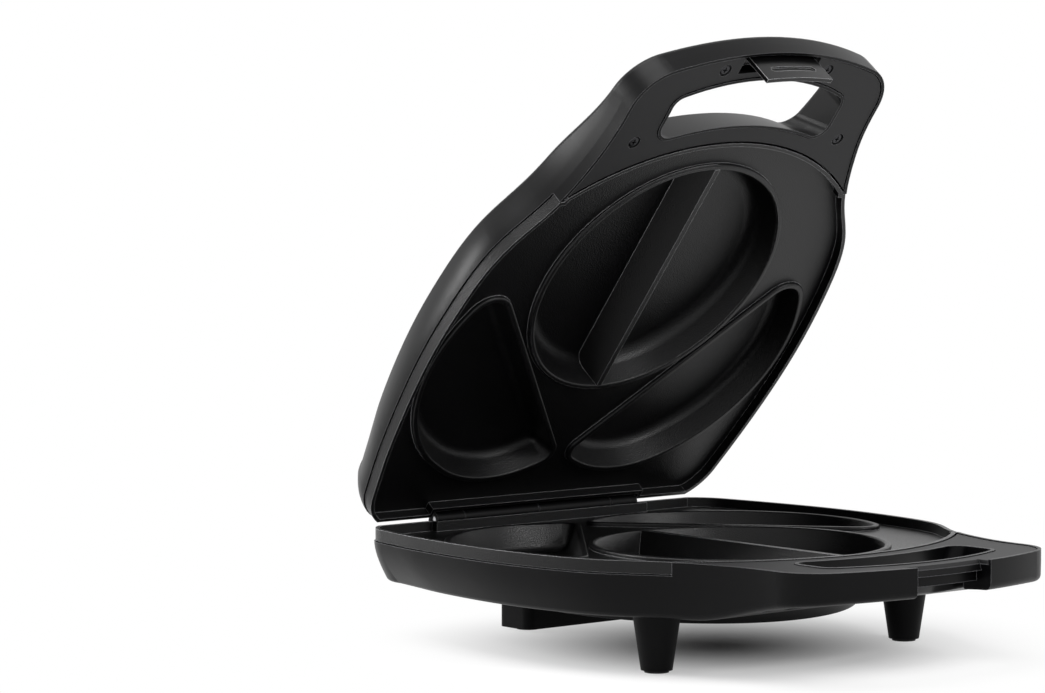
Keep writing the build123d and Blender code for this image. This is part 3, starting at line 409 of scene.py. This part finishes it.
screws_tree, given, made, screw_keys = geometry_tree(
    "screws_at_points", {"Screw": "Object", "Head Way": "Vector", "Material": "Material"})
one = add_node(screws_tree, "GeometryNodeObjectInfo", {"Object": given.outputs["Screw"]})
steer = add_node(screws_tree, "FunctionNodeAlignRotationToVector", {"Vector": given.outputs["Head Way"]},
                 axis="Z")
spread = add_node(screws_tree, "GeometryNodeInstanceOnPoints",
                  {"Points": given.outputs["Geometry"], "Instance": one.outputs["Geometry"],
                   "Rotation": steer.outputs["Rotation"]})
real = add_node(screws_tree, "GeometryNodeRealizeInstances", {"Geometry": spread.outputs["Instances"]})
dressed = add_node(screws_tree, "GeometryNodeSetMaterial",
                   {"Geometry": real.outputs["Geometry"], "Material": given.outputs["Material"]})
screws_tree.links.new(dressed.outputs["Geometry"], made.inputs["Geometry"])

for body, node_name, height, where in (("lid", "lid_cover_screws", LID_SEAT_HEIGHT, LID_TURN),
                                       ("base", "base_cover_screws", BASE_SEAT_HEIGHT, Matrix())):
    seats = bpy.data.meshes.new("screw_seats")
    seats.from_pydata([where @ Vector((x, y, height)) for x, y in SCREW_PLACES], [], [])
    head_way = where.to_3x3() @ Vector((0, 0, -1))
    screws = grown(placed(seats, "screw_seats"), screws_tree, screw_keys, node_name + "_detailed",
                   Screw=screw, Head_Way=head_way, Material=blackened)
    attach(screws, body)
    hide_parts(node_name)
bpy.data.objects.remove(screw)

# ------------------------------------------------------------------ latch spring
# A short coil of spring wire around the latch's pin, between the hook and the lid's lug, which pushes
# the latch plate back after it has been pulled out.
SPRING_START = Vector((0.01920, -0.13767, 0.0563))
SPRING_LONG = 0.00175
SPRING_TURNS = 3.5
COIL_RADIUS = 0.00148
WIRE_RADIUS = 0.0003
TURN_POINTS = 28
WIRE_SIDES = 10
coil_tree, given, made, coil_keys = geometry_tree(
    "coil", {"Turns": "Float", "Coil Radius": "Float", "Length": "Float", "Wire Radius": "Float",
             "Material": "Material"})
helix = add_node(coil_tree, "GeometryNodeCurveSpiral",
                 {"Rotations": given.outputs["Turns"], "Start Radius": given.outputs["Coil Radius"],
                  "End Radius": given.outputs["Coil Radius"], "Height": given.outputs["Length"]},
                 Resolution=TURN_POINTS)
wire = add_node(coil_tree, "GeometryNodeCurvePrimitiveCircle", {"Radius": given.outputs["Wire Radius"]},
                Resolution=WIRE_SIDES)
tube = add_node(coil_tree, "GeometryNodeCurveToMesh",
                {"Curve": helix.outputs["Curve"], "Profile Curve": wire.outputs["Curve"]}, Fill_Caps=True)
dressed = add_node(coil_tree, "GeometryNodeSetMaterial",
                   {"Geometry": tube.outputs["Mesh"], "Material": given.outputs["Material"]})
coil_tree.links.new(dressed.outputs["Geometry"], made.inputs["Geometry"])
seed = placed(bpy.data.meshes.new("spring_seed"), "spring_seed")
spring = grown(seed, coil_tree, coil_keys, "latch_spring_coil", Turns=SPRING_TURNS,
               Coil_Radius=COIL_RADIUS, Length=SPRING_LONG, Wire_Radius=WIRE_RADIUS, Material=zinc)
spring.data.transform(LID_TURN @ Matrix.Translation(SPRING_START) @ Matrix.Rotation(math.radians(90), 4, "Y"))
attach(spring, "lid")
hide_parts("latch_spring")

# ------------------------------------------------------------------ lenses
# Snap-in lenses of tinted clear acrylic, red for power and green for ready. They are polished outside
# and lie over small lamps, and the tint is a little uneven in its depth.
TINT_CLOUD = 1 / 160
for node_name, finish, deep_hex, bright_hex in (
        ("red_lens", "red_tinted_acrylic", "#3c0605", "#5e0d0a"),
        ("green_lens", "green_tinted_acrylic", "#06522a", "#0a8a42")):
    acrylic, tree = new_material(finish)
    place = add_node(tree, "ShaderNodeTexCoord")
    cloud = add_node(tree, "ShaderNodeTexNoise", {"Vector": place.outputs["Object"]},
                     Scale=1 / TINT_CLOUD, Detail=1.0)
    tone = two_tones(tree, cloud.outputs["Fac"], deep_hex, bright_hex)
    shader = add_node(tree, "ShaderNodeBsdfPrincipled", {"Base Color": tone}, Roughness=0.22, IOR=1.49,
                      Specular_IOR_Level=0.1, Transmission_Weight=0.1)
    finish_material(tree, shader)
    wear(node_name, acrylic)

# ------------------------------------------------------------------ inner electrical pieces
# A cream resin block and lamp holder with cream insulated leads, dull aluminium sheaths on the heating
# elements and the small metal cases, and two glass lamps.
RESIN_CLOUD = 1 / 90
SHEATH_CLOUD = 1 / 220
cream_resin, tree = new_material("cream_phenolic_resin")
place = add_node(tree, "ShaderNodeTexCoord")
cloud = add_node(tree, "ShaderNodeTexNoise", {"Vector": place.outputs["Object"]},
                 Scale=1 / RESIN_CLOUD, Detail=4.0)
tone = two_tones(tree, cloud.outputs["Fac"], "#d9d2bd", "#e6e0cf")
shader = add_node(tree, "ShaderNodeBsdfPrincipled", {"Base Color": tone}, Roughness=0.45, IOR=1.6)
finish_material(tree, shader)
for name in ("terminal_block", "lamp_holder", "base_leads", "lid_leads"):
    wear(name, cream_resin)

sheath, tree = new_material("dull_aluminium_sheath")
place = add_node(tree, "ShaderNodeTexCoord")
cloud = add_node(tree, "ShaderNodeTexNoise", {"Vector": place.outputs["Object"]},
                 Scale=1 / SHEATH_CLOUD, Detail=4.0)
gloss = add_node(tree, "ShaderNodeMapRange", {"Value": cloud.outputs["Fac"]}, To_Min=0.38, To_Max=0.55)
shader = add_node(tree, "ShaderNodeBsdfPrincipled", {"Roughness": gloss.outputs["Result"]},
                  Base_Color=linear("#a9a9ab"), Metallic=1.0)
finish_material(tree, shader)
for name in ("lower_heating_element", "upper_heating_element", "thermal_fuse", "thermostat"):
    wear(name, sheath)

lamp_glass, tree = new_material("clear_soda_glass")
shader = add_node(tree, "ShaderNodeBsdfPrincipled", Base_Color=linear("#f2f4f4"), Roughness=0.05,
                  IOR=1.5, Transmission_Weight=0.9)
finish_material(tree, shader)
wear("indicator_lamps", lamp_glass)

# ------------------------------------------------------------------ floor and light
# A pale paper floor in a white studio. A large soft lamp hangs overhead, and smaller banks stand behind on
# the left, where they draw the long highlight down the lid's side, in front, and far out on the right.
FLOOR_HALF = 6.0
FLOOR_DROP = 0.0002
SHADE_REACH = 0.17            # beyond this the floor is plain white for the camera


def backdrop_rays(tree):
    """1 for a ray that should find the white backdrop: one from the camera, a gloss or a clear piece."""
    path = add_node(tree, "ShaderNodeLightPath")
    through = add_node(tree, "ShaderNodeMath",
                       {0: path.outputs["Is Glossy Ray"], 1: path.outputs["Is Transmission Ray"]},
                       operation="MAXIMUM")
    return add_node(tree, "ShaderNodeMath", {0: path.outputs["Is Camera Ray"], 1: through.outputs[0]},
                    operation="MAXIMUM").outputs[0]


floor_mesh = bpy.data.meshes.new("floor")
floor_mesh.from_pydata([(x * FLOOR_HALF, y * FLOOR_HALF, -FLOOR_DROP) for x, y in SQUARE], [], [(0, 1, 2, 3)])
floor = bpy.data.objects.new("floor", floor_mesh)
bpy.context.scene.collection.objects.link(floor)
floor_paint, tree = new_material("pale_floor")
place = add_node(tree, "ShaderNodeTexCoord")
reach = add_node(tree, "ShaderNodeVectorMath", {0: place.outputs["Object"]}, operation="LENGTH")
# Near the middle the camera sees the lamps' real light and shadow on the floor, and the white glow comes in
# only smoothly out to SHADE_REACH: a round painted shadow around the maker over its real one.
painted_shadow_fade = add_node(tree, "ShaderNodeMapRange", {"Value": reach.outputs["Value"]},
                interpolation_type="SMOOTHSTEP", From_Min=0.0, From_Max=SHADE_REACH)
glow_share = add_node(tree, "ShaderNodeMath", {0: painted_shadow_fade.outputs["Result"], 1: backdrop_rays(tree)},
                      operation="MULTIPLY")
paint = add_node(tree, "ShaderNodeBsdfPrincipled", Base_Color=linear("#f0f0f0"), Roughness=0.8)
glow = add_node(tree, "ShaderNodeEmission", Color=linear("#ffffff"), Strength=1.0)
whole = add_node(tree, "ShaderNodeMixShader",
                 {0: glow_share.outputs[0], 1: paint.outputs[0], 2: glow.outputs[0]})
finish_material(tree, whole)
floor_mesh.materials.append(floor_paint)

SWEEP_WAY = Vector((-0.55, 0.80, 0.20)).normalized()
SWEEP_LEVEL = 0.75            # light from the middle of the white sweep, and from the rest of the room
ROOM_LEVEL = 0.12
SWEEP_EDGE = 0.2              # how nearly a way points at the sweep where its light begins, and is full
SWEEP_HEART = 0.95
world = bpy.data.worlds.new("studio")
bpy.context.scene.world = world
world.use_nodes = True
tree = world.node_tree
tree.nodes.clear()
way = add_node(tree, "ShaderNodeTexCoord")
facing = add_node(tree, "ShaderNodeVectorMath", {0: way.outputs["Generated"]}, operation="DOT_PRODUCT")
facing.inputs[1].default_value = SWEEP_WAY
level = add_node(tree, "ShaderNodeMapRange", {"Value": facing.outputs["Value"]},
                 interpolation_type="SMOOTHSTEP", From_Min=SWEEP_EDGE, From_Max=SWEEP_HEART,
                 To_Min=ROOM_LEVEL, To_Max=SWEEP_LEVEL)
room = add_node(tree, "ShaderNodeBackground", {"Strength": level.outputs["Result"]},
                Color=linear("#ffffff"))
backdrop = add_node(tree, "ShaderNodeBackground", Color=linear("#ffffff"), Strength=1.0)
both = add_node(tree, "ShaderNodeMixShader",
                {0: backdrop_rays(tree), 1: room.outputs[0], 2: backdrop.outputs[0]})
add_node(tree, "ShaderNodeOutputWorld", {"Surface": both.outputs[0]})


def soft_lamp(name, place, aim, size, power):
    """A large lamp of that width and height that looks at a point, out of the camera's sight."""
    data = bpy.data.lights.new(name, "AREA")
    data.shape = "RECTANGLE"
    data.size, data.size_y = size
    data.energy = power
    lamp = bpy.data.objects.new(name, data)
    lamp.location = place
    lamp.rotation_euler = (Vector(place) - Vector(aim)).to_track_quat("Z", "Y").to_euler()
    lamp.visible_camera = False
    bpy.context.scene.collection.objects.link(lamp)


soft_lamp("overhead", (-0.55, 0.25, 1.8), (0, 0, 0.1), (1.3, 1.3), 32.0)
soft_lamp("left_bank", (-1.15, 1.45, 0.72), (0, 0, 0.15), (0.35, 0.6), 17.0)
soft_lamp("front_bank", (0.35, -1.3, 0.9), (0, 0, 0.1), (0.4, 0.4), 9.5)
soft_lamp("right_bank", (1.45, 0.0, 0.78), (0, -0.05, 0.2), (0.2, 0.3), 0.7)

bpy.context.scene.view_settings.view_transform = "Standard"
